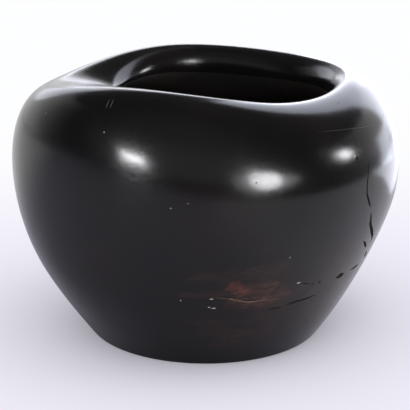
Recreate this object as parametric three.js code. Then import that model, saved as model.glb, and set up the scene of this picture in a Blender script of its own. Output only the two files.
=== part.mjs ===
// A free-form hollow bowl, carved from one block of dark hardwood and polished black.
//
// It stands on a flat foot and swells to a belly that leans and rises unevenly. Its shoulder rolls
// over to a wavy rim, and a broad lip falls from the rim to the throat. Below the throat the hollow
// widens again behind the shoulder. Foot, wall, lip and floor are all one piece of wood.
//
// Sizes are in millimetres and +Z is up. The origin is on the flat of the foot, under the middle of
// the belly. The front of the bowl faces -Y, and +X is on the right of someone who looks at it.

import * as THREE from "three";

// The form hangs on four lines that run round the bowl: belly, foot, rim and throat. The radius or
// the height of a line is a mean with slow waves on it. A wave is written as its share of the mean
// and the direction, in degrees from +X towards +Y, in which it stands highest. A lean has one
// crest round the bowl, an oval has two and lobes have three.

// The belly line, where the wall is widest and stands upright.
const BELLY_RADIUS = 125;
const BELLY_OVAL = [0.053, 51];
const BELLY_LOBES = [0.012, 46];
const BELLY_HEIGHT = 107.2;
const BELLY_HEIGHT_LEAN = [0.079, 236];
const BELLY_HEIGHT_OVAL = [0.057, 142];

// The foot line, where the foot's edge would be if it were sharp: how far in from the belly line.
const FOOT_INSET = 46.6;
const FOOT_INSET_LEAN = [0.088, 50];
const FOOT_INSET_OVAL = [0.147, 36];
const FOOT_INSET_LOBES = [0.031, 46];

// The rim line, the highest of the rolled lip: how far in from the belly line and how far above it.
const SHOULDER_WIDTH = 33;
const SHOULDER_WIDTH_LEAN = [0.137, 59];
const SHOULDER_WIDTH_OVAL = [0.059, 119];
const SHOULDER_WIDTH_LOBES = [0.044, 46];
const SHOULDER_RISE = 57;
const SHOULDER_RISE_LEAN = [0.054, 46];
const SHOULDER_RISE_OVAL = [0.167, 61];
const SHOULDER_RISE_LOBES = [0.053, 0];

// The throat line, the narrowest of the mouth: how far in from the rim line and how far below it.
const LIP_WIDTH = 19.3;
const LIP_WIDTH_LEAN = [0.649, 214];
const LIP_WIDTH_OVAL = [0.292, 32];
const THROAT_DROP = 15.5;
const THROAT_DROP_LEAN = [0.244, 328];
const THROAT_DROP_OVAL = [0.256, 101];

// The radius of the roll over the rim line.
const RIM_ROUND = 16.9;
const RIM_ROUND_LEAN = [0.31, 218];

// The wood left at the belly and under the hollow, and the radius of the foot's rounded edge.
const WALL = 13;
const FLOOR = 17;
const FOOT_EDGE = 6;

// The slope at which the flank leaves the foot, in degrees from level.
const FLANK_SLOPE = 53;

// How full the bends are: the reach of a bend's tangent, as a share of the way to the next line.
const FLANK_REACH = 0.72;
const SHOULDER_UPRIGHT = 0.6;
const THROAT_UPRIGHT = 0.6;
const HOLLOW_UPRIGHT = 0.5;
const FLOOR_LEVEL = 0.55;

// The roll over the rim takes no more than this share of the lip's or the shoulder's width.
const ROLL_SHARE = 0.8;

// The radius of the floor's flat, as a share of the foot's.
const FLOOR_SHARE = 0.4;

// How many flats the round of the bowl and each stretch of its profile are drawn with.
const FLATS_ROUND = 72;
const EDGE_STEPS = 3;
const FLANK_STEPS = 9;
const SHOULDER_STEPS = 9;
const LIP_STEPS = 7;
const UNDERCUT_STEPS = 8;
const HOLLOW_STEPS = 8;

const LEVEL = [0, 0];
const radians = THREE.MathUtils.degToRad;

// A line's radius or height in the direction of angle: its mean and its waves.
function line(mean, lean = LEVEL, oval = LEVEL, lobes = LEVEL) {
  return (angle) =>
    [lean, oval, lobes].reduce(
      (sum, [share, crest], i) => sum + mean * share * Math.cos((i + 1) * (angle - radians(crest))),
      mean,
    );
}

const bellyRadius = line(BELLY_RADIUS, LEVEL, BELLY_OVAL, BELLY_LOBES);
const bellyHeight = line(BELLY_HEIGHT, BELLY_HEIGHT_LEAN, BELLY_HEIGHT_OVAL);
const footInset = line(FOOT_INSET, FOOT_INSET_LEAN, FOOT_INSET_OVAL, FOOT_INSET_LOBES);
const shoulderWidth = line(
  SHOULDER_WIDTH,
  SHOULDER_WIDTH_LEAN,
  SHOULDER_WIDTH_OVAL,
  SHOULDER_WIDTH_LOBES,
);
const shoulderRise = line(
  SHOULDER_RISE,
  SHOULDER_RISE_LEAN,
  SHOULDER_RISE_OVAL,
  SHOULDER_RISE_LOBES,
);
const lipWidth = line(LIP_WIDTH, LIP_WIDTH_LEAN, LIP_WIDTH_OVAL);
const throatDrop = line(THROAT_DROP, THROAT_DROP_LEAN, THROAT_DROP_OVAL);
const rimRound = line(RIM_ROUND, RIM_ROUND_LEAN);

// One bend of the profile: a curve from start to end that leaves and arrives along two tangents.
function bend(start, leaving, arriving, end, steps) {
  const points = [start, leaving, arriving, end].map(([r, z]) => new THREE.Vector2(r, z));
  return new THREE.CubicBezierCurve(...points).getPoints(steps);
}

// How the length of a bend's tangent, the curve's radius at that end and the distance from the
// tangent to the bend's other tangent point, its offset, give one another on such a curve.
const reachFor = (radius, offset) => Math.sqrt((2 / 3) * offset * radius);
const radiusFor = (reach, offset) => reach ** 2 / ((2 / 3) * offset);

// The lines of the form where a plane through the axis in the direction of angle meets them.
function sectionAt(angle) {
  const belly = [bellyRadius(angle), bellyHeight(angle)];
  const foot = belly[0] - footInset(angle);
  const rim = [belly[0] - shoulderWidth(angle), belly[1] + shoulderRise(angle)];
  const throat = [rim[0] - lipWidth(angle), rim[1] - throatDrop(angle)];
  const hollow = [belly[0] - WALL, belly[1]];
  return { foot, belly, rim, throat, hollow, roll: rimRound(angle) };
}

// The bends of the profile from the foot's flat over the rim and through the throat to the floor.
// Two bends that meet have the same radius there, so that the polish shows no kink.
function bends({ foot, belly, rim, throat, hollow, roll }) {
  const slope = radians(FLANK_SLOPE);
  const edge = FOOT_EDGE * Math.tan(slope / 2);
  const flank = [foot + edge * Math.cos(slope), edge * Math.sin(slope)];
  const run = FLANK_REACH * (belly[0] - flank[0]);
  const leaving = [flank[0] + run, flank[1] + run * Math.tan(slope)];

  const up = SHOULDER_UPRIGHT * (rim[1] - belly[1]);
  const rise = THROAT_UPRIGHT * (rim[1] - throat[1]);
  const outer = rim[1] - belly[1] - up;
  const inner = rim[1] - throat[1] - rise;
  const radius = Math.min(
    roll,
    radiusFor(ROLL_SHARE * (belly[0] - rim[0]), outer),
    radiusFor(ROLL_SHARE * (rim[0] - throat[0]), inner),
  );
  const over = reachFor(radius, outer);
  const into = reachFor(radius, inner);
  const below = reachFor(radiusFor(up, belly[0] - rim[0] - over), belly[0] - leaving[0]);
  const under = reachFor(radiusFor(rise, rim[0] - throat[0] - into), hollow[0] - throat[0]);

  const above = HOLLOW_UPRIGHT * (throat[1] - hollow[1]);
  const floor = [foot * FLOOR_SHARE, FLOOR];
  const along = FLOOR_LEVEL * (hollow[0] - floor[0]);
  const beneath = reachFor(radiusFor(above, hollow[0] - throat[0]), hollow[0] - floor[0] - along);

  return [
    bend([foot - edge, 0], [foot, 0], [foot, 0], flank, EDGE_STEPS),
    bend(flank, leaving, [belly[0], belly[1] - below], belly, FLANK_STEPS),
    bend(belly, [belly[0], belly[1] + up], [rim[0] + over, rim[1]], rim, SHOULDER_STEPS),
    bend(rim, [rim[0] - into, rim[1]], [throat[0], throat[1] + rise], throat, LIP_STEPS),
    bend(throat, [throat[0], throat[1] - under], [hollow[0], hollow[1] + above], hollow, UNDERCUT_STEPS),
    bend(hollow, [hollow[0], hollow[1] - beneath], [floor[0] + along, floor[1]], floor, HOLLOW_STEPS),
  ];
}

// The whole profile in one direction. Bends share their end points, so each starts one point late.
function profileAt(angle) {
  return bends(sectionAt(angle)).flatMap((points, i) => points.slice(i ? 1 : 0));
}

// Sweeps the profile round the axis, and closes it below by the foot and inside by the floor.
function bowlGeometry() {
  const angles = Array.from({ length: FLATS_ROUND }, (_, j) => (2 * Math.PI * j) / FLATS_ROUND);
  const profiles = angles.map(profileAt);
  const rows = profiles[0].length;
  const positions = [];
  const faces = [];
  for (let i = 0; i < rows; i++)
    profiles.forEach((profile, j) => {
      const { x: r, y: z } = profile[i];
      positions.push(r * Math.cos(angles[j]), r * Math.sin(angles[j]), z);
    });
  const foot = rows * FLATS_ROUND;
  const floor = foot + 1;
  positions.push(0, 0, 0, 0, 0, FLOOR);
  for (let j = 0; j < FLATS_ROUND; j++) {
    const next = (j + 1) % FLATS_ROUND;
    faces.push(foot, next, j);
    for (let i = 0; i < rows - 1; i++) {
      const [low, high] = [i * FLATS_ROUND, (i + 1) * FLATS_ROUND];
      faces.push(low + j, low + next, high + next);
      faces.push(low + j, high + next, high + j);
    }
    const last = (rows - 1) * FLATS_ROUND;
    faces.push(last + j, last + next, floor);
  }
  const geometry = new THREE.BufferGeometry();
  geometry.setAttribute("position", new THREE.Float32BufferAttribute(positions, 3));
  geometry.setIndex(faces);
  geometry.computeVertexNormals();
  return geometry;
}

const blackened = new THREE.MeshStandardMaterial({ color: 0x17120f, roughness: 0.25, metalness: 0 });
const bowl = new THREE.Mesh(bowlGeometry(), blackened);
bowl.name = "bowl";

const part = new THREE.Group();
part.add(bowl);

export default part;
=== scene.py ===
"""A free-form hollow bowl of dark hardwood, carved from one block, blackened and polished."""

from math import cos, pi, radians, sin

import bpy
from mathutils import Matrix, Vector


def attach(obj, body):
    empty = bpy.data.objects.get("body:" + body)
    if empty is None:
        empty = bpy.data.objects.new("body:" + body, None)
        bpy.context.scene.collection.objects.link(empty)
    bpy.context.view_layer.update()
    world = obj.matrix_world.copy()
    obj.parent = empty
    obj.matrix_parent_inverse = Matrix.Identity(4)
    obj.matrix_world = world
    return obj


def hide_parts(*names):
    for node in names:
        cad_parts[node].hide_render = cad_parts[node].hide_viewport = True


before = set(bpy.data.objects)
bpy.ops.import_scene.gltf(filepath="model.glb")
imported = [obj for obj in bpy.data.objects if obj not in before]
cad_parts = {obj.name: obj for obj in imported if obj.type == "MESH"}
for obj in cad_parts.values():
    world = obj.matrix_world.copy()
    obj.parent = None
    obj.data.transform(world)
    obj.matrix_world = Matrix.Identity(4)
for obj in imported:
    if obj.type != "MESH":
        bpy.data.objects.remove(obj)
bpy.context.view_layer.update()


# The finish. The bare wood is a dark red-brown. It was stained and blackened, then rubbed to a soft
# gloss, which lies over it as a thin skin and wears through where hands and shelves rub it.


class Flow:
    """A number on its way through a node tree: sums and products of flows become Math nodes."""

    def __init__(self, tree, socket):
        self.tree, self.socket = tree, socket

    def math(self, operation, *others):
        step = self.tree.nodes.new("ShaderNodeMath")
        step.operation = operation
        for entry, value in zip(step.inputs, (self, *others)):
            feed(self.tree, entry, value)
        return Flow(self.tree, step.outputs[0])

    def __add__(self, other):
        return self.math("ADD", other)

    def __sub__(self, other):
        return self.math("SUBTRACT", other)

    def __rsub__(self, other):
        return self * -1 + other

    def __mul__(self, other):
        return self.math("MULTIPLY", other)

    def __truediv__(self, other):
        return self.math("DIVIDE", other)

    def __pow__(self, power):
        return self.math("POWER", power)

    def smooth(self, low, high):
        """0 below low, 1 above high, and an even rise between them. Low may be above high."""
        span = {"Value": self, "From Min": low, "From Max": high}
        step = place(self.tree, "ShaderNodeMapRange", span)
        step.interpolation_type = "SMOOTHSTEP"
        return Flow(self.tree, step.outputs[0])


def feed(tree, entry, value):
    """Links a flow or an output to a node's input, or writes a plain value into it."""
    if isinstance(value, Flow):
        value = value.socket
    if isinstance(value, bpy.types.NodeSocket):
        tree.links.new(value, entry)
    else:
        entry.default_value = value


def place(tree, kind, inputs=(), **settings):
    """Puts a node in the tree, with its settings and its inputs by name or number."""
    node = tree.nodes.new(kind)
    for name, value in settings.items():
        setattr(node, name, value)
    for key, value in dict(inputs).items():
        feed(tree, node.inputs[key], value)
    return node


def result(tree, kind, inputs=(), **settings):
    """Puts a node in the tree in the same way, and gives its first output."""
    return place(tree, kind, inputs, **settings).outputs[0]


def vector_step(tree, operation, first, second=None, amount=None):
    """One sum, product or scaling of vectors, or the length of one."""
    node = place(tree, "ShaderNodeVectorMath", {0: first}, operation=operation)
    for entry, value in ((1, second), ("Scale", amount)):
        if value is not None:
            feed(tree, node.inputs[entry], value)
    return node.outputs["Value" if operation == "LENGTH" else "Vector"]


def coordinates(tree, vector):
    """The three coordinates of a vector, each as a flow."""
    return [Flow(tree, part) for part in place(tree, "ShaderNodeSeparateXYZ", {0: vector}).outputs]


def sockets(tree, side, wanted):
    """Gives a node group its named inputs or outputs. Each is a kind, or a kind and a value."""
    for name, (kind, *value) in wanted.items():
        made = tree.interface.new_socket(name, in_out=side, socket_type="NodeSocket" + kind)
        if value:
            made.default_value = value[0]


def group(name, kind, takes, gives):
    """A node group with only its inputs and outputs, and the place where its inputs come in."""
    tree = bpy.data.node_groups.new(name, kind)
    sockets(tree, "INPUT", takes)
    sockets(tree, "OUTPUT", gives)
    return tree, tree.nodes.new("NodeGroupInput").outputs


def stretched(tree, where, scale, detail, stretch, roughness=0.55):
    """A noise drawn out along the grain, which runs from the left of the bowl to its right."""
    drawn = result(tree, "ShaderNodeMapping", {"Vector": where, "Scale": stretch})
    fineness = {"Scale": scale, "Detail": detail, "Roughness": roughness}
    return Flow(tree, result(tree, "ShaderNodeTexNoise", {"Vector": drawn, **fineness}))


def blend_colours(tree, amount, first, second):
    """A colour between two others: the first where the amount is 0, the second where it is 1."""
    mix = place(tree, "ShaderNodeMix", {0: amount}, data_type="RGBA")
    for entry, colour in ((mix.inputs[6], first), (mix.inputs[7], second)):
        feed(tree, entry, (*colour, 1) if isinstance(colour, tuple) else colour)
    return mix.outputs[2]


def wood_grain():
    """Bands of growth, fine fibres and short open pores, all drawn out along the grain."""
    takes = {"Where": ("Vector",), "Dark": ("Color",), "Light": ("Color",)}
    gives = {"Colour": ("Color",), "Height": ("Float",)}
    tree, given = group("wood grain", "ShaderNodeTree", takes, gives)
    where = given["Where"]
    bands = stretched(tree, where, scale=60, detail=3, stretch=(0.12, 1, 1)).smooth(0.32, 0.68)
    fibres = stretched(tree, where, scale=420, detail=4, stretch=(0.05, 1, 1), roughness=0.7)
    pores = stretched(tree, where, scale=900, detail=1, stretch=(0.09, 1, 1)).smooth(0.66, 0.74)
    tone = bands * 0.55 + fibres * 0.75 - pores * 0.6 - 0.2
    clear = tone.math("MAXIMUM", 0).math("MINIMUM", 1)
    colour = blend_colours(tree, clear, given["Dark"], given["Light"])
    place(tree, "NodeGroupOutput", {0: colour, 1: fibres * 0.5 - pores})
    return tree


def rubbed_patch():
    """A mask over one rubbed place: an oval about a centre, ragged along the grain."""
    takes = {name: ("Vector",) for name in ("Where", "Centre", "Half Size")}
    takes |= {"Ragged": ("Float", 0.5)}
    tree, given = group("rubbed patch", "ShaderNodeTree", takes, {"Mask": ("Float",)})
    away = vector_step(tree, "SUBTRACT", given["Where"], given["Centre"])
    shrunk = vector_step(tree, "DIVIDE", away, given["Half Size"])
    span = Flow(tree, vector_step(tree, "LENGTH", shrunk))
    streaks = stretched(tree, given["Where"], 110, 5, stretch=(0.25, 1, 1), roughness=0.6)
    edge = span + (streaks - 0.5) * 4 * Flow(tree, given["Ragged"])
    place(tree, "NodeGroupOutput", {0: edge.smooth(1.15, 0.45)})
    return tree


GRAIN, PATCH = wood_grain(), rubbed_patch()
# How high the fibres can stand, in metres.
GRAIN_HEIGHT = 0.0001


def material(name, roughness=0.5):
    """A new material: its node tree, its shader, and the place on the bowl as a vector."""
    made = bpy.data.materials.new(name)
    made.use_nodes = True
    tree = made.node_tree
    shader = tree.nodes["Principled BSDF"]
    shader.inputs["Roughness"].default_value = roughness
    return made, tree, shader, tree.nodes.new("ShaderNodeTexCoord").outputs["Object"]


def grained(tree, where, dark, light):
    """The colour of bare wood, between a dark and a light one, and the height of its fibres."""
    inputs = {"Where": where, "Dark": (*dark, 1), "Light": (*light, 1)}
    node = place(tree, "ShaderNodeGroup", inputs, node_tree=GRAIN)
    return node.outputs[0], Flow(tree, node.outputs[1])


def patch(tree, where, centre, half, ragged):
    """How far the finish is rubbed off at one place, from 0 to 1."""
    inputs = {"Where": where, "Centre": centre, "Half Size": half, "Ragged": ragged}
    return Flow(tree, result(tree, "ShaderNodeGroup", inputs, node_tree=PATCH))


def raise_surface(tree, shader, height):
    """Lets the surface stand up by a height, from 0 to 1."""
    bump = result(tree, "ShaderNodeBump", {"Height": height, "Distance": GRAIN_HEIGHT})
    tree.links.new(bump, shader.inputs["Normal"])


def bare_wood(name, dark, light, roughness, uneven=0, raised=False):
    """Wood without the finish. Its fibres can make its roughness uneven and can stand up."""
    made, tree, shader, where = material(name, roughness)
    wood, relief = grained(tree, where, dark, light)
    tree.links.new(wood, shader.inputs["Base Color"])
    if uneven:
        tree.links.new((relief * uneven + roughness).socket, shader.inputs["Roughness"])
    if raised:
        raise_surface(tree, shader, relief)
    return made


BLACK, BROWN_BLACK = (0.0045, 0.0042, 0.0046), (0.0085, 0.0062, 0.006)
WORN_DARK, WORN_LIGHT = (0.026, 0.011, 0.0075), (0.15, 0.062, 0.038)
WORN_RED = (0.15, 0.042, 0.024)

finish, tree, shader, where = material("blackened_finish")
wood, relief = grained(tree, where, WORN_DARK, WORN_LIGHT)
# The finish is worn through at one place low on the front, which is redder at its upper left.
wear = patch(tree, where, (0.029, -0.108, 0.0535), (0.0265, 0.014, 0.0125), 0.35)
redder = patch(tree, where, (0.0165, -0.112, 0.0605), (0.0045, 0.01, 0.006), 1)
# Round it are faint ones: the centre and half size in metres, how ragged, and how far worn.
FAINT = (
    ((0.033, -0.112, 0.068), (0.024, 0.014, 0.009), 0.8, 0.2),
    ((0.02, -0.108, 0.047), (0.042, 0.03, 0.032), 0.9, 0.16),
    ((0.022, -0.093, 0.022), (0.028, 0.02, 0.014), 0.8, 0.22),
    ((0.078, -0.072, 0.042), (0.034, 0.03, 0.04), 0.5, 0.2),
)
for centre, half, ragged, worn in FAINT:
    wear = wear.math("MAXIMUM", patch(tree, where, centre, half, ragged) * worn)
clouds = Flow(tree, result(tree, "ShaderNodeTexNoise", {"Vector": where, "Scale": 14, "Detail": 3}))
stain = blend_colours(tree, clouds.smooth(0.35, 0.7), BLACK, BROWN_BLACK)
# The finish stays in the hollows of the fibres, so a rubbed place is streaked and never all bare.
streaks = stretched(tree, where, scale=340, detail=4, stretch=(0.16, 1, 1), roughness=0.7)
streaks = streaks.smooth(0.4, 0.6)
showing = wear * (streaks * 0.6 + 0.4)
colour = blend_colours(tree, showing, stain, wood)
colour = blend_colours(tree, redder * (streaks * 0.5 + 0.25), colour, WORN_RED)
tree.links.new(colour, shader.inputs["Base Color"])
# Rubbing by hand leaves a fine mottle and broad smears in the gloss, and a worn place is duller.
POLISHED, MOTTLED, SMEARED, DULLER = 0.18, 0.14, 0.1, 0.13
mottle = stretched(tree, where, scale=420, detail=4, stretch=(0.6, 1, 1), roughness=0.65)
smears = stretched(tree, where, scale=26, detail=3, stretch=(1, 0.5, 0.5))
rough = (mottle - 0.5) * MOTTLED + (smears - 0.5) * SMEARED + showing * DULLER + POLISHED
tree.links.new(rough.socket, shader.inputs["Roughness"])
shader.inputs["IOR"].default_value = 1.4
raise_surface(tree, shader, relief * (showing * 0.9 + 0.1) + mottle * 0.35)

# Behind the throat the wood was stained but hardly polished, and the foot was left as it was cut.
HOLLOW_DARK, HOLLOW_LIGHT = (0.006, 0.005, 0.005), (0.02, 0.014, 0.011)
FOOT_DARK, FOOT_LIGHT = (0.012, 0.008, 0.007), (0.09, 0.045, 0.028)
raw_hollow = bare_wood("hollow_wood", HOLLOW_DARK, HOLLOW_LIGHT, 0.5, uneven=0.1, raised=True)
foot_wood = bare_wood("foot_wood", FOOT_DARK, FOOT_LIGHT, 0.6, uneven=0.1, raised=True)


# The body of the bowl is one block of hardwood. Its outside is carved by eye, so every line that
# runs round it leans and waves, and the hollow is carved out through the mouth behind the shoulder.

# Each line is its mean in metres, then its lean, oval and lobes. A wave is its share of the mean
# and the direction in which it stands highest, in degrees from the right towards the back.
LINES = {
    "Belly Radius": (0.125, None, (0.053, 51), (0.012, 46)),
    "Belly Height": (0.1072, (0.079, 236), (0.057, 142), None),
    "Foot Inset": (0.0466, (0.088, 50), (0.147, 36), (0.031, 46)),
    "Shoulder Width": (0.033, (0.137, 59), (0.059, 119), (0.044, 46)),
    "Shoulder Rise": (0.057, (0.054, 46), (0.167, 61), (0.053, 0)),
    "Lip Width": (0.0193, (0.649, 214), (0.292, 32), None),
    "Throat Drop": (0.0155, (0.244, 328), (0.256, 101), None),
    "Rim Round": (0.0169, (0.31, 218), None, None),
}
WAVES = ("Lean", "Oval", "Lobes")
LEVEL = (0, 0)

# The wood that is left, the foot's rounded edge, and how full the bends of the profile are.
BODY_SIZES = {
    "Wall": 0.013,
    "Floor": 0.017,
    "Floor Share": 0.4,
    "Foot Edge": 0.006,
    "Flank Slope": radians(53),
    "Flank Reach": 0.72,
    "Shoulder Upright": 0.6,
    "Throat Upright": 0.6,
    "Hollow Upright": 0.5,
    "Floor Level": 0.55,
    "Roll Share": 0.8,
    "Unevenness": 0.0003,
}
FLATS_ROUND = 360
MERGE_DISTANCE = 1e-5


def wave_group():
    """A line's radius or height in one direction: its mean and its three waves."""
    takes = {"Angle": ("Float",), "Mean": ("Float",), **{wave: ("Vector",) for wave in WAVES}}
    tree, given = group("wavy line", "GeometryNodeTree", takes, {"Value": ("Float",)})
    angle, total = Flow(tree, given["Angle"]), 1
    for order, wave in enumerate(WAVES, 1):
        share, crest, _ = coordinates(tree, given[wave])
        total = share * ((angle - crest.math("RADIANS")) * order).math("COSINE") + total
    place(tree, "NodeGroupOutput", {0: total * Flow(tree, given["Mean"])})
    return tree


def bend_group():
    """One bend of the profile: from start to end along the curve that two more points pull."""
    names = ("Along", "Start", "Leaving", "Arriving", "End")
    takes = {name: ("Float",) for name in names}
    tree, given = group("bend", "GeometryNodeTree", takes, {"Value": ("Float",)})
    along, start, leaving, arriving, end = (Flow(tree, given[name]) for name in names)
    back = 1 - along
    curve = start * back**3 + leaving * 3 * back**2 * along + arriving * 3 * back * along**2
    place(tree, "NodeGroupOutput", {0: curve + end * along**3})
    return tree


def body_tree():
    """The whole body: eight stretches of the profile, each swept round the axis and joined."""
    takes = {name: ("Float", size) for name, size in BODY_SIZES.items()}
    for name, (mean, *waves) in LINES.items():
        takes[name] = ("Float", mean)
        for wave, set_to in zip(WAVES, waves):
            takes[f"{name} {wave}"] = ("Vector", (*(set_to or LEVEL), 0))
    takes["Flats Round"] = ("Int", FLATS_ROUND)
    takes |= {name: ("Material",) for name in ("Finish", "Hollow Wood", "Foot Wood")}
    tree, given = group("bowl body", "GeometryNodeTree", takes, {"Geometry": ("Geometry",)})
    size = {name: Flow(tree, given[name]) for name in BODY_SIZES}

    # Each stretch starts as a flat sheet: round the bowl is across it, and the profile is up it.
    position = tree.nodes.new("GeometryNodeInputPosition").outputs[0]
    across, up_sheet, height = coordinates(tree, position)
    angle, along = (across + 0.5) * 2 * pi, up_sheet + 0.5
    wavy, curved = wave_group(), bend_group()

    def line(name):
        waves = {wave: given[f"{name} {wave}"] for wave in WAVES}
        inputs = {"Angle": angle, "Mean": given[name], **waves}
        return Flow(tree, result(tree, "GeometryNodeGroup", inputs, node_tree=wavy))

    def bend(*points):
        inputs = enumerate((along, *points))
        return Flow(tree, result(tree, "GeometryNodeGroup", inputs, node_tree=curved))

    # How the length of a bend's tangent, the curve's radius there and the tangent's distance from
    # the bend's other tangent point give one another.
    def reach_for(radius, offset):
        return (radius * offset * (2 / 3)).math("SQRT")

    def radius_for(reach, offset):
        return reach * reach / (offset * (2 / 3))

    belly_r, belly_z = line("Belly Radius"), line("Belly Height")
    foot = belly_r - line("Foot Inset")
    shoulder, lift = line("Shoulder Width"), line("Shoulder Rise")
    rim_r, rim_z = belly_r - shoulder, belly_z + lift
    lip, drop = line("Lip Width"), line("Throat Drop")
    throat_r, throat_z = rim_r - lip, rim_z - drop
    hollow_r = belly_r - size["Wall"]

    slope = size["Flank Slope"]
    edge = size["Foot Edge"] * (slope * 0.5).math("TANGENT")
    flank_r, flank_z = foot + edge * slope.math("COSINE"), edge * slope.math("SINE")
    run = size["Flank Reach"] * (belly_r - flank_r)
    leaving_r, leaving_z = flank_r + run, flank_z + run * slope.math("TANGENT")

    up = size["Shoulder Upright"] * lift
    rise = size["Throat Upright"] * drop
    outer, inner = lift - up, drop - rise
    roll = line("Rim Round").math("MINIMUM", radius_for(size["Roll Share"] * shoulder, outer))
    roll = roll.math("MINIMUM", radius_for(size["Roll Share"] * lip, inner))
    over, into = reach_for(roll, outer), reach_for(roll, inner)
    below = reach_for(radius_for(up, shoulder - over), belly_r - leaving_r)
    under = reach_for(radius_for(rise, lip - into), hollow_r - throat_r)

    above = size["Hollow Upright"] * (throat_z - belly_z)
    floor_r, floor_z = foot * size["Floor Share"], size["Floor"]
    level = size["Floor Level"] * (hollow_r - floor_r)
    beneath = reach_for(radius_for(above, hollow_r - throat_r), hollow_r - floor_r - level)

    # Steps and material, then the radius and the height of the four points of each stretch.
    flat = foot - edge
    stretches = (
        (10, "Foot Wood", (0, flat * (1 / 3), flat * (2 / 3), flat), (0, 0, 0, 0)),
        (8, "Finish", (flat, foot, foot, flank_r), (0, 0, 0, flank_z)),
        (
            48,
            "Finish",
            (flank_r, leaving_r, belly_r, belly_r),
            (flank_z, leaving_z, belly_z - below, belly_z),
        ),
        (
            40,
            "Finish",
            (belly_r, belly_r, rim_r + over, rim_r),
            (belly_z, belly_z + up, rim_z, rim_z),
        ),
        (
            28,
            "Finish",
            (rim_r, rim_r - into, throat_r, throat_r),
            (rim_z, rim_z, throat_z + rise, throat_z),
        ),
        (
            28,
            "Hollow Wood",
            (throat_r, throat_r, hollow_r, hollow_r),
            (throat_z, throat_z - under, belly_z + above, belly_z),
        ),
        (
            30,
            "Hollow Wood",
            (hollow_r, hollow_r, floor_r + level, floor_r),
            (belly_z, belly_z - beneath, floor_z, floor_z),
        ),
        (8, "Hollow Wood", (floor_r, floor_r * (2 / 3), floor_r * (1 / 3), 0), (floor_z,) * 4),
    )
    cosine, sine = angle.math("COSINE"), angle.math("SINE")
    joined = tree.nodes.new("GeometryNodeJoinGeometry")
    columns = Flow(tree, given["Flats Round"]) + 1
    for steps, wood, radii, heights in stretches:
        counts = {"Vertices X": columns, "Vertices Y": steps + 1}
        sheet = result(tree, "GeometryNodeMeshGrid", counts)
        r, z = bend(*radii), bend(*heights)
        point = result(tree, "ShaderNodeCombineXYZ", {0: r * cosine, 1: r * sine, 2: z})
        swept = result(tree, "GeometryNodeSetPosition", {"Geometry": sheet, "Position": point})
        wooded = {"Geometry": swept, "Material": given[wood]}
        tree.links.new(result(tree, "GeometryNodeSetMaterial", wooded), joined.inputs[0])
    seams = {"Geometry": joined.outputs[0], "Distance": MERGE_DISTANCE}
    shell = result(tree, "GeometryNodeMergeByDistance", seams)

    # A gouge leaves the surface a little uneven, and sanding leaves only the slow swells of it.
    slow = {"Scale": 22, "Detail": 1, "Roughness": 0.4}
    swell = Flow(tree, result(tree, "ShaderNodeTexNoise", slow))
    amount = (swell - 0.5) * 2 * size["Unevenness"]
    off_foot = height.smooth(0.002, 0.02)
    normal = tree.nodes.new("GeometryNodeInputNormal").outputs[0]
    push = vector_step(tree, "SCALE", normal, amount=amount * off_foot)
    sanded = result(tree, "GeometryNodeSetPosition", {"Geometry": shell, "Offset": push})
    soft = result(tree, "GeometryNodeSetShadeSmooth", {"Geometry": sanded})
    real = result(tree, "GeometryNodeRealizeInstances", {"Geometry": soft})
    place(tree, "NodeGroupOutput", {0: real})
    return tree


def grow(thing, tree, settings):
    """Runs a node tree on an object, and keeps what it makes as the object's own plain mesh."""
    growth = thing.modifiers.new("growth", "NODES")
    growth.node_group = tree
    for item in tree.interface.items_tree:
        if item.in_out == "INPUT" and item.name in settings:
            growth[item.identifier] = settings[item.name]
    bpy.context.view_layer.update()
    grown = thing.evaluated_get(bpy.context.evaluated_depsgraph_get())
    shape = bpy.data.meshes.new_from_object(grown)
    thing.modifiers.clear()
    shape.name = thing.name
    thing.data = shape


bowl = bpy.data.objects.new("carved_bowl", bpy.data.meshes.new("carved_bowl"))
bpy.context.scene.collection.objects.link(bowl)
grow(bowl, body_tree(), {"Finish": finish, "Hollow Wood": raw_hollow, "Foot Wood": foot_wood})


# The drying checks. The block shrank as it dried and opened in short splits: along the grain low on
# the front, and upright through the end of the block on its right. Chips and a few scratches came
# later. All of them are open cuts in the wall, down to bare wood. The wood deep in the checks and
# the dark chips is painted nearly black as shade, and the pale chips are painted nearly white as
# glints.

# Nearly black: painted shade for the dark deep inside the checks and the dark chips.
split_wood = bare_wood("split_wood", (0.003, 0.0022, 0.002), (0.022, 0.013, 0.01), 0.8, raised=True)
fresh_wood = bare_wood("fresh_wood", (0.11, 0.055, 0.032), (0.32, 0.20, 0.12), 0.75)
# Nearly white: a painted glint where the lips of small chips and checks catch the light.
chip_wood = bare_wood("chip_wood", (0.45, 0.40, 0.36), (0.75, 0.70, 0.64), 0.7)
scuffed = bare_wood("scuffed_finish", (0.14, 0.138, 0.14), (0.28, 0.275, 0.28), 0.45)

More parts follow.
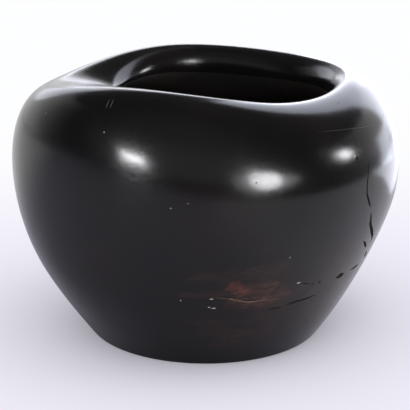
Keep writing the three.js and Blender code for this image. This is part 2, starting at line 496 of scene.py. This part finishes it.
# Each check is how deep it is for its width, how far its root leans upwards in millimetres, and its
# points: the direction in degrees, the height and the width in millimetres.
SPLITS = (
    (4, 0, ((-32.7, 126.2, 0.1), (-33.7, 122.5, 0.7), (-34.3, 117.5, 0.75), (-34.7, 113.4, 0.85),
            (-34.7, 108.1, 0.9), (-34.3, 104, 1.0), (-32.7, 99.2, 1.1), (-31.3, 95.5, 0.9),
            (-30.6, 93.4, 0.1))),
    (3.5, 0, ((-29.6, 90, 0.1), (-28.6, 86, 1.2), (-28, 81.8, 1.7), (-26.2, 77.8, 1.6),
              (-24.3, 74.2, 1.9), (-21.6, 69.4, 1.6), (-20.6, 66.5, 1.2), (-21.3, 63.6, 0.1))),
    (3, 0, ((-29.6, 70.4, 0.1), (-27.5, 67.6, 1.3), (-25.2, 64.2, 1.2), (-24.2, 62.4, 0.1))),
    (3, 0, ((-21.5, 58.6, 0.1), (-20.9, 56.4, 2.0), (-20, 54.2, 1.5), (-20.1, 53, 0.1))),
    (3, 0, ((-24.6, 51.4, 0.1), (-27, 51.1, 1.0), (-30, 51.2, 1.0), (-32.3, 51.4, 0.1))),
    (2.5, 0, ((-36.6, 51.8, 0.1), (-38, 51.4, 1.9), (-40, 51.6, 2.2), (-42.3, 51.6, 0.1))),
    (2, 0, ((-50.2, 53.5, 0.1), (-51, 53.3, 1.3), (-51.9, 53.2, 0.1))),
    (2, 0, ((-52.9, 53.2, 0.1), (-54.2, 53.6, 0.6), (-55, 54.3, 0.1))),
    (2, 0, ((-55.8, 54.5, 0.1), (-57.2, 55.3, 0.7), (-58.6, 56.1, 0.6), (-59.4, 56.3, 0.1))),
    (3, 0, ((-50.6, 44.2, 0.1), (-53.5, 43.8, 0.8), (-57, 43.6, 1.0), (-60, 43.4, 1.1),
            (-62.5, 43.2, 1.0), (-64.5, 42.9, 0.1))),
    (3, 0, ((-65.6, 42.3, 0.1), (-67, 41.8, 0.8), (-69.5, 42.4, 0.8), (-71, 42.9, 0.1))),
    (2, 0, ((-89, 56, 0.1), (-86.5, 55.2, 0.45), (-84.4, 54.4, 0.5), (-82.6, 53.4, 0.5),
            (-80.4, 52, 0.45), (-78, 51.1, 0.4), (-75.5, 50.8, 0.3), (-73, 50.7, 0.1))),
    (1.2, 0.25, ((-71.5, 39.8, 0.1), (-73, 39.6, 0.6), (-75, 39.5, 0.1))),
)
# One check low on the front is wide and shallow, and its lower side is fresh wood.
FRESH = (
    (0.9, 0.6, ((-88.6, 55.2, 0.1), (-86, 54.2, 0.25), (-84.6, 53.7, 0.4), (-83, 52.9, 0.65),
                (-81, 51.6, 0.75), (-79.5, 50.6, 0.85), (-77, 49.7, 0.8), (-75, 49.7, 0.6),
                (-72.7, 49.6, 0.4), (-70.5, 49.1, 0.25), (-67.3, 48, 0.1))),
)
SCRATCHED = (
    (0.5, 0, ((-120.4, 167.9, 0.1), (-120.4, 170.4, 0.5), (-120.4, 173, 0.1))),
    (0.5, 0, ((-119.1, 168.2, 0.1), (-119.1, 170.6, 0.5), (-119.1, 173.2, 0.1))),
    (0.4, 0, ((-53.4, 149.4, 0.1), (-46, 147.8, 0.3), (-38, 145.8, 0.3), (-30, 143.6, 0.25),
              (-24, 142.2, 0.1))),
    (0.4, 0, ((-36.5, 143.5, 0.1), (-36.3, 138, 0.3), (-36.8, 132.5, 0.1))),
)
# Each chip is its direction in degrees, then its height, half width and half height in millimetres.
# The pale chips are painted glints on lit lips.
PALE_CHIPS = (
    (-60.7, 57.6, 1.5, 0.35), (-89.3, 54.3, 1.1, 0.35), (-88.6, 47.4, 1.4, 0.4),
    (-90, 48.2, 0.9, 0.35), (-40.4, 131, 0.9, 0.8), (-65.7, 77.4, 0.45, 0.35),
    (-100, 114.4, 0.4, 0.35), (-98.3, 53.5, 0.45, 0.3), (-119.3, 155.4, 0.4, 0.35),
    (-143, 157.5, 0.3, 0.3), (-95.5, 117.5, 0.25, 0.25),
)
# The dark chips are painted shade in small pits.
DARK_CHIPS = (
    (-39.6, 129.2, 1.3, 1.5), (-77.3, 128.2, 0.5, 0.5), (-32.7, 158.2, 0.45, 0.45),
    (-10, 141.7, 0.45, 0.45), (-41.5, 127.6, 0.4, 0.4),
)
# In metres, how finely a check is drawn, how far it strays from its line and how far its cutter
# stands out of the wall. Then the half width of the cutter there, for a check's width of 1.
CHECK_SIZES = {"Step": 0.0006, "Wobble": 0.0004, "Proud": 0.0006, "Half Widen": 0.95}
# The marks are drawn on a drum round the bowl, of this radius in metres.
DRUM = 0.2
MILLIMETRES_PER_METRE = 1000


def on_drum(direction, height):
    """A point on the drum, from its direction in degrees and its height in millimetres."""
    turn = radians(direction)
    return DRUM * cos(turn), DRUM * sin(turn), height / MILLIMETRES_PER_METRE


def drum_object(name, points, edges, kept):
    """An object of points and edges on the drum, with the numbers that its points keep."""
    mesh = bpy.data.meshes.new(name)
    mesh.from_pydata(points, edges, [])
    for key, values in kept.items():
        metres = [value / MILLIMETRES_PER_METRE for value in values]
        mesh.attributes.new(key, "FLOAT", "POINT").data.foreach_set("value", metres)
    return bpy.data.objects.new(name, mesh)


def drawn_marks(name, splits):
    """The marks as lines on the drum. Each point keeps its width, depth and lean."""
    points, edges, kept = [], [], {"width": [], "depth": [], "lean": []}
    for deep, lean, path in splits:
        for step, (direction, height, width) in enumerate(path):
            if step:
                edges.append((len(points) - 1, len(points)))
            points.append(on_drum(direction, height))
            for key, value in (("width", width), ("depth", deep * width), ("lean", lean)):
                kept[key].append(value)
    return drum_object(name, points, edges, kept)


def drawn_chips(name, chips):
    """The chips as points on the drum. Each keeps its half width and half height."""
    directions, heights, half_widths, half_heights = zip(*chips)
    points = [on_drum(*spot) for spot in zip(directions, heights)]
    return drum_object(name, points, [], {"width": half_widths, "depth": half_heights})


def named(tree, name, kind="FLOAT"):
    return result(tree, "GeometryNodeInputNamedAttribute", {"Name": name}, data_type=kind)


def onto_wall(tree, geometry, wall):
    """Moves what is on the drum straight in to the wall, and keeps the wall's way out there."""
    here = tree.nodes.new("GeometryNodeInputPosition").outputs[0]
    inwards = vector_step(tree, "MULTIPLY", here, (-1, -1, 0))
    cast = {"Target Geometry": wall, "Source Position": here, "Ray Direction": inwards}
    ray = place(tree, "GeometryNodeRaycast", {**cast, "Ray Length": DRUM}).outputs
    way = {"Geometry": geometry, "Name": "outward", "Value": ray["Hit Normal"]}
    kept = result(tree, "GeometryNodeStoreNamedAttribute", way, data_type="FLOAT_VECTOR")
    landed = {"Geometry": kept, "Position": ray["Hit Position"]}
    return result(tree, "GeometryNodeSetPosition", landed)


def shaken(tree, geometry, amount, noise):
    """Moves each point of a shape a little way in a direction of its own."""
    field = place(tree, "ShaderNodeTexNoise", noise).outputs["Color"]
    away = vector_step(tree, "SUBTRACT", field, (0.5, 0.5, 0.5))
    away = vector_step(tree, "SCALE", away, amount=amount)
    return result(tree, "GeometryNodeSetPosition", {"Geometry": geometry, "Offset": away})


def chip_cutter(tree, drawn, wall, outward, deep):
    """A chip is a small ragged lump out of the wall, a little over half as deep as it is high."""
    spots = onto_wall(tree, drawn, wall)
    lump = result(tree, "GeometryNodeMeshIcoSphere", {"Radius": 1, "Subdivisions": 2})
    ragged = shaken(tree, lump, 0.9, {"Scale": 1.6, "Detail": 2})
    facing = result(tree, "FunctionNodeAlignRotationToVector", {"Vector": outward}, axis="Z")
    level = {"Rotation": facing, "Vector": (0, 0, 1)}
    turned = result(tree, "FunctionNodeAlignRotationToVector", level, axis="Y", pivot_axis="Z")
    halves = {0: named(tree, "width"), 1: named(tree, "depth"), 2: deep * 0.6}
    size = result(tree, "ShaderNodeCombineXYZ", halves)
    laid = {"Points": spots, "Instance": ragged, "Rotation": turned, "Scale": size}
    many = result(tree, "GeometryNodeInstanceOnPoints", laid)
    return result(tree, "GeometryNodeRealizeInstances", {"Geometry": many})


def split_cutter(tree, drawn, wall, outward, deep, given):
    """A check strays a little from its line. It opens at two lips and ends in a narrow root."""
    line = result(tree, "GeometryNodeMeshToCurve", {"Mesh": drawn})
    steps = {"Curve": line, "Length": given["Step"]}
    fine = result(tree, "GeometryNodeResampleCurve", steps, mode="LENGTH")
    noise = {"Scale": 260, "Detail": 3, "Roughness": 0.6}
    strayed = shaken(tree, fine, Flow(tree, given["Wobble"]) * 2, noise)
    lying = {"Curve": onto_wall(tree, strayed, wall), "Normal": outward}
    upright = result(tree, "GeometryNodeSetCurveNormal", lying, mode="FREE")

    # The section is flat at first, the lips at its ends and the root between them. Once it is swept
    # along the line, the root, which is marked, is sunk into the wall.
    corners = {f"Point {number}": (0, y, 0) for number, y in enumerate((1, 0.1, -0.1, -1), 1)}
    section = result(tree, "GeometryNodeCurvePrimitiveQuadrilateral", corners, mode="POINTS")
    _, across, _ = coordinates(tree, tree.nodes.new("GeometryNodeInputPosition").outputs[0])
    root = across.math("ABSOLUTE").math("LESS_THAN", 0.5)
    mark = {"Geometry": section, "Name": "root", "Value": root}
    marked = result(tree, "GeometryNodeStoreNamedAttribute", mark)
    width = Flow(tree, named(tree, "width")) * given["Half Widen"]
    sweep = {"Curve": upright, "Profile Curve": marked, "Scale": width, "Fill Caps": True}
    swept = result(tree, "GeometryNodeCurveToMesh", sweep)
    sunk = Flow(tree, named(tree, "root"))
    depth = (1 - sunk) * given["Proud"] - sunk * deep
    drop = vector_step(tree, "SCALE", outward, amount=depth)
    lean = result(tree, "ShaderNodeCombineXYZ", {2: sunk * Flow(tree, named(tree, "lean"))})
    away = vector_step(tree, "ADD", drop, lean)
    return result(tree, "GeometryNodeSetPosition", {"Geometry": swept, "Offset": away})


def checks_tree():
    """Cuts every check, scratch and chip out of the wall of the bowl."""
    kinds = ("Splits", "Fresh Splits", "Scratches", "Pale Chips", "Dark Chips")
    takes = {"Geometry": ("Geometry",)}
    takes |= {name: ("Float", size) for name, size in CHECK_SIZES.items()}
    takes |= {kind: ("Object",) for kind in kinds}
    takes |= {kind + " Wood": ("Material",) for kind in kinds}
    tree, given = group("open checks", "GeometryNodeTree", takes, {"Geometry": ("Geometry",)})
    wall = given["Geometry"]
    cutters = []
    for kind in kinds:
        drawn = place(tree, "GeometryNodeObjectInfo", {"Object": given[kind]}).outputs["Geometry"]
        deep = Flow(tree, named(tree, "depth"))
        outward = named(tree, "outward", "FLOAT_VECTOR")
        if "Chips" in kind:
            cutter = chip_cutter(tree, drawn, wall, outward, deep)
        else:
            cutter = split_cutter(tree, drawn, wall, outward, deep, given)
        faceted = {"Geometry": cutter, "Shade Smooth": False}
        flat = result(tree, "GeometryNodeSetShadeSmooth", faceted)
        wooded = {"Geometry": flat, "Material": given[kind + " Wood"]}
        cutters.append(result(tree, "GeometryNodeSetMaterial", wooded))
    for cutter in cutters:
        both = {"Mesh 1": wall, "Mesh 2": cutter}
        cut = place(tree, "GeometryNodeMeshBoolean", both, operation="DIFFERENCE")
        cut.solver = "MANIFOLD"
        wall = cut.outputs["Mesh"]
    real = result(tree, "GeometryNodeRealizeInstances", {"Geometry": wall})
    place(tree, "NodeGroupOutput", {0: real})
    return tree


marks = {
    "Splits": drawn_marks("splits", SPLITS),
    "Fresh Splits": drawn_marks("fresh_splits", FRESH),
    "Scratches": drawn_marks("scratches", SCRATCHED),
    "Pale Chips": drawn_chips("pale_chips", PALE_CHIPS),
    "Dark Chips": drawn_chips("dark_chips", DARK_CHIPS),
    "Splits Wood": split_wood,
    "Fresh Splits Wood": fresh_wood,
    "Scratches Wood": scuffed,
    "Pale Chips Wood": chip_wood,
    "Dark Chips Wood": split_wood,
}
grow(bowl, checks_tree(), marks)

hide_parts("bowl")
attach(bowl, "root")


# The stage is a pale table that ends a little in front of the bowl, and a white sheet that stands
# behind it. Soft lights stand low round the front and the right for the highlights of the polish,
# weaker and bluer ones stand behind the bowl for its lip, and one hangs high on the right.
WHITE, GREY, DARK_GREY = (0.985, 0.99, 1), (0.8, 0.8, 0.8), (0.08, 0.08, 0.08)


def stage_object(name, points, faces, look):
    """A piece of the stage, which is no part of the bowl."""
    mesh = bpy.data.meshes.new(name)
    mesh.from_pydata(points, [], faces)
    mesh.materials.append(look)
    thing = bpy.data.objects.new(name, mesh)
    bpy.context.scene.collection.objects.link(thing)
    return thing


def shown_white(tree, shader, to_camera, to_polish, colour=(*WHITE, 1)):
    """Turns a paint to plain white, by an amount, where the camera or the polish sees it."""
    rays = tree.nodes.new("ShaderNodeLightPath").outputs
    mirrored = Flow(tree, rays["Is Glossy Ray"]).math("MAXIMUM", rays["Is Transmission Ray"])
    seen = Flow(tree, rays["Is Camera Ray"]) * to_camera + mirrored * to_polish
    glow = result(tree, "ShaderNodeEmission", {"Color": colour, "Strength": 1})
    mixed = result(tree, "ShaderNodeMixShader", {0: seen, 1: shader.outputs[0], 2: glow})
    tree.links.new(mixed, tree.nodes["Material Output"].inputs[0])


# Near the bowl the camera sees the table's paint with the bowl's shadow on it. Further off it
# pales, at so much a metre, first to a lilac white and then to the white of the sheet.
TABLE_PAINT, LILAC_WHITE = (0.59, 0.575, 0.66), (0.935, 0.92, 1)
PALES_FROM, PALING = 0.05, 11
paint, tree, shader, where = material("table_paint", 0.9)
shader.inputs["Base Color"].default_value = (*TABLE_PAINT, 1)
shader.inputs["Specular IOR Level"].default_value = 0
out = Flow(tree, vector_step(tree, "LENGTH", where))
right, behind, _ = coordinates(tree, where)
paler = (1 - ((PALES_FROM - out) * PALING).math("EXPONENT")).math("MAXIMUM", 0)
far_behind = out.smooth(0.15, 0.4) * behind.smooth(0, 0.3)
mirrored = far_behind.math("MAXIMUM", right.smooth(0.03, 0.16) * 0.65)
tinted = blend_colours(tree, out.smooth(0.2, 0.46), LILAC_WHITE, WHITE)
shown_white(tree, shader, paler, mirrored, tinted)
SIDES, TABLE_RADIUS, TABLE_CENTRE = 96, 0.95, (-0.45, 0.05)
turns = [2 * pi * side / SIDES for side in range(SIDES)]
ring = [(TABLE_RADIUS * cos(turn), TABLE_RADIUS * sin(turn)) for turn in turns]
stage_object(
    "table",
    [(0, 0, 0)] + [(TABLE_CENTRE[0] + x, TABLE_CENTRE[1] + y, 0) for x, y in ring],
    [(0, k + 1, (k + 1) % SIDES + 1) for k in range(SIDES)],
    paint,
)

# The sheet lies just below the table's top, from close behind the bowl outwards, and then stands up
# in flat ribs. Towards its two ends its paint turns dark grey: painted shade for the dark of the
# room.
SHEET_NEAR, SHEET_AWAY, SHEET_HALF_ANGLE, RIBS = 0.46, 2.2, 95, 30
SHEET_FOOT, SHEET_TOP, SHEET_TOP_LEFT = -0.001, 0.9, 1.7
cloth, tree, shader, where = material("sheet_cloth", 0.8)
shader.inputs["Specular IOR Level"].default_value = 0
_, back, up = coordinates(tree, where)
behind = back / SHEET_AWAY
# Grey in the middle and dark grey towards the ends: a painted shade, which the polish mirrors.
lit = blend_colours(tree, behind.smooth(-0.15, 0.7), DARK_GREY, GREY)
tree.links.new(lit, shader.inputs["Base Color"])
shown_white(tree, shader, 1, up.smooth(1.6, 0.9) * behind.smooth(0.3, 0.85))
spread = [radians(90 - SHEET_HALF_ANGLE + 2 * SHEET_HALF_ANGLE * k / RIBS) for k in range(RIBS + 1)]


def sheet_top(angle):
    """The sheet hangs from a line that rises to the left."""
    share = min(max(-cos(angle) / cos(radians(60)), 0), 1)
    return SHEET_TOP + share * (SHEET_TOP_LEFT - SHEET_TOP)


stage_object(
    "sheet",
    [
        (reach * cos(angle), reach * sin(angle), sheet_top(angle) if hung else SHEET_FOOT)
        for reach, hung in ((SHEET_NEAR, False), (SHEET_AWAY, False), (SHEET_AWAY, True))
        for angle in spread
    ],
    [
        (row + k, row + k + 1, row + len(spread) + k + 1, row + len(spread) + k)
        for row in (0, len(spread))
        for k in range(RIBS)
    ],
    cloth,
)

# The camera sees the room as white, and its light falls on the wood and the table. What the polish
# mirrors of it is dark: a little light straight in front, and less above that.
DAYLIGHT, ROOM_LIGHT = (0.96, 0.97, 1), (0.92, 0.96, 1)
world = bpy.data.worlds.new("studio")
bpy.context.scene.world = world
world.use_nodes = True
air = world.node_tree
air.nodes.clear()
rays = air.nodes.new("ShaderNodeLightPath").outputs
soft = result(air, "ShaderNodeBackground", {"Color": (*DAYLIGHT, 1), "Strength": 0.98})
_, back, high = coordinates(air, air.nodes.new("ShaderNodeTexCoord").outputs["Generated"])
ahead = back.smooth(-0.2, -0.9)
room = ahead * high.smooth(-0.09, 0.02) * (high.smooth(0.5, 0.12) * 0.6 + 0.4) * 0.4 + 0.07
dark = result(air, "ShaderNodeBackground", {"Color": (*ROOM_LIGHT, 1), "Strength": room})
white = result(air, "ShaderNodeBackground", {"Color": (*WHITE, 1), "Strength": 1})
polish = result(air, "ShaderNodeMixShader", {0: rays["Is Glossy Ray"], 1: soft, 2: dark})
seen = result(air, "ShaderNodeMixShader", {0: rays["Is Camera Ray"], 1: polish, 2: white})
place(air, "ShaderNodeOutputWorld", {0: seen})


def softbox(
    name, azimuth, elevation, size, radiance,
    tilt=0, distance=1.5, centre=(0, 0, 0.1), shape="ELLIPSE",
):
    """A soft light that faces its centre. Azimuth 0 stands in front of that and 90 on its right."""
    lamp = bpy.data.lights.new(name, "AREA")
    lamp.shape = shape
    wide, high = size
    lamp.size, lamp.size_y = wide, high
    lamp.energy = radiance * pi * wide * high * (pi / 4 if shape == "ELLIPSE" else 1)
    turn, lift = radians(azimuth), radians(elevation)
    out = Vector((sin(turn) * cos(lift), -cos(turn) * cos(lift), sin(lift)))
    tilted = out.to_track_quat("Z", "Y").to_matrix() @ Matrix.Rotation(radians(tilt), 3, "Z")
    thing = bpy.data.objects.new(name, lamp)
    thing.location = Vector(centre) + out * distance
    thing.rotation_euler = tilted.to_euler()
    thing.visible_camera = False
    bpy.context.scene.collection.objects.link(thing)
    return thing


FRONT_TONE, BACK_TONE = (0.97, 0.98, 1), (0.83, 0.86, 1)
SHOULDER = (0.03, -0.12, 0.13)
front_lights = (
    softbox("left_light", -36, 3, (0.52, 0.06), 128, tilt=-3, centre=(-0.045, -0.12, 0.143)),
    softbox("front_light", 45, 1.6, (0.54, 0.36), 28, centre=SHOULDER),
    softbox("front_glow", 45, 0, (1.2, 0.4), 3.5, distance=1.51, centre=SHOULDER),
    softbox("right_light", 101, 8.4, (0.26, 0.22), 26, tilt=-20, centre=(0.08, -0.083, 0.134)),
)
back_lights = (
    softbox(
        "back_right_light", 163.5, 22, (0.3, 0.64), 3.2,
        distance=0.35, centre=(0.128, 0.02, 0.115),
    ),
    softbox(
        "back_right_gleam", 0, -90, (0.30, 0.43), 2.3,
        distance=0.998, centre=(0.37, 0.405, 1), shape="RECTANGLE",
    ),
    softbox(
        "back_right_low_light", 136.3, 0, (0.13, 0.14), 2.8,
        distance=0.449, centre=(0.12, -0.01, 0.075), shape="RECTANGLE",
    ),
    softbox(
        "back_low_light", 173, 7, (0.62, 0.16), 2,
        distance=0.9, centre=(-0.02, 0, 0.165), shape="RECTANGLE",
    ),
    softbox(
        "back_left_light", -143, 16, (0.36, 0.34), 1.7,
        distance=0.65, centre=(0.09, 0, 0.16),
    ),
)
# All of these show in the polish alone. The one that hangs high doesn't show in it.
for lights, tone in ((front_lights, FRONT_TONE), (back_lights, BACK_TONE)):
    for light in lights:
        light.visible_diffuse = False
        light.data.color = tone
key = softbox("key_light", 95, 58, (1.8, 1.8), 1.2, distance=1.9)
key.visible_glossy = False

# The camera looks along the bowl from a little above, from far enough away to flatten it.
AIM = Vector((-0.00246, 0, 0.0765))
FAR, ABOVE = 1.25, radians(17.5)
eye = bpy.data.cameras.new("eye")
eye.lens, eye.sensor_width = 169.1, 36
camera = bpy.data.objects.new("eye", eye)
camera.location = AIM + FAR * Vector((0, -cos(ABOVE), sin(ABOVE)))
camera.rotation_euler = (pi / 2 - ABOVE, 0, 0)
bpy.context.scene.collection.objects.link(camera)
bpy.context.scene.camera = camera
bpy.context.scene.view_settings.view_transform = "Standard"
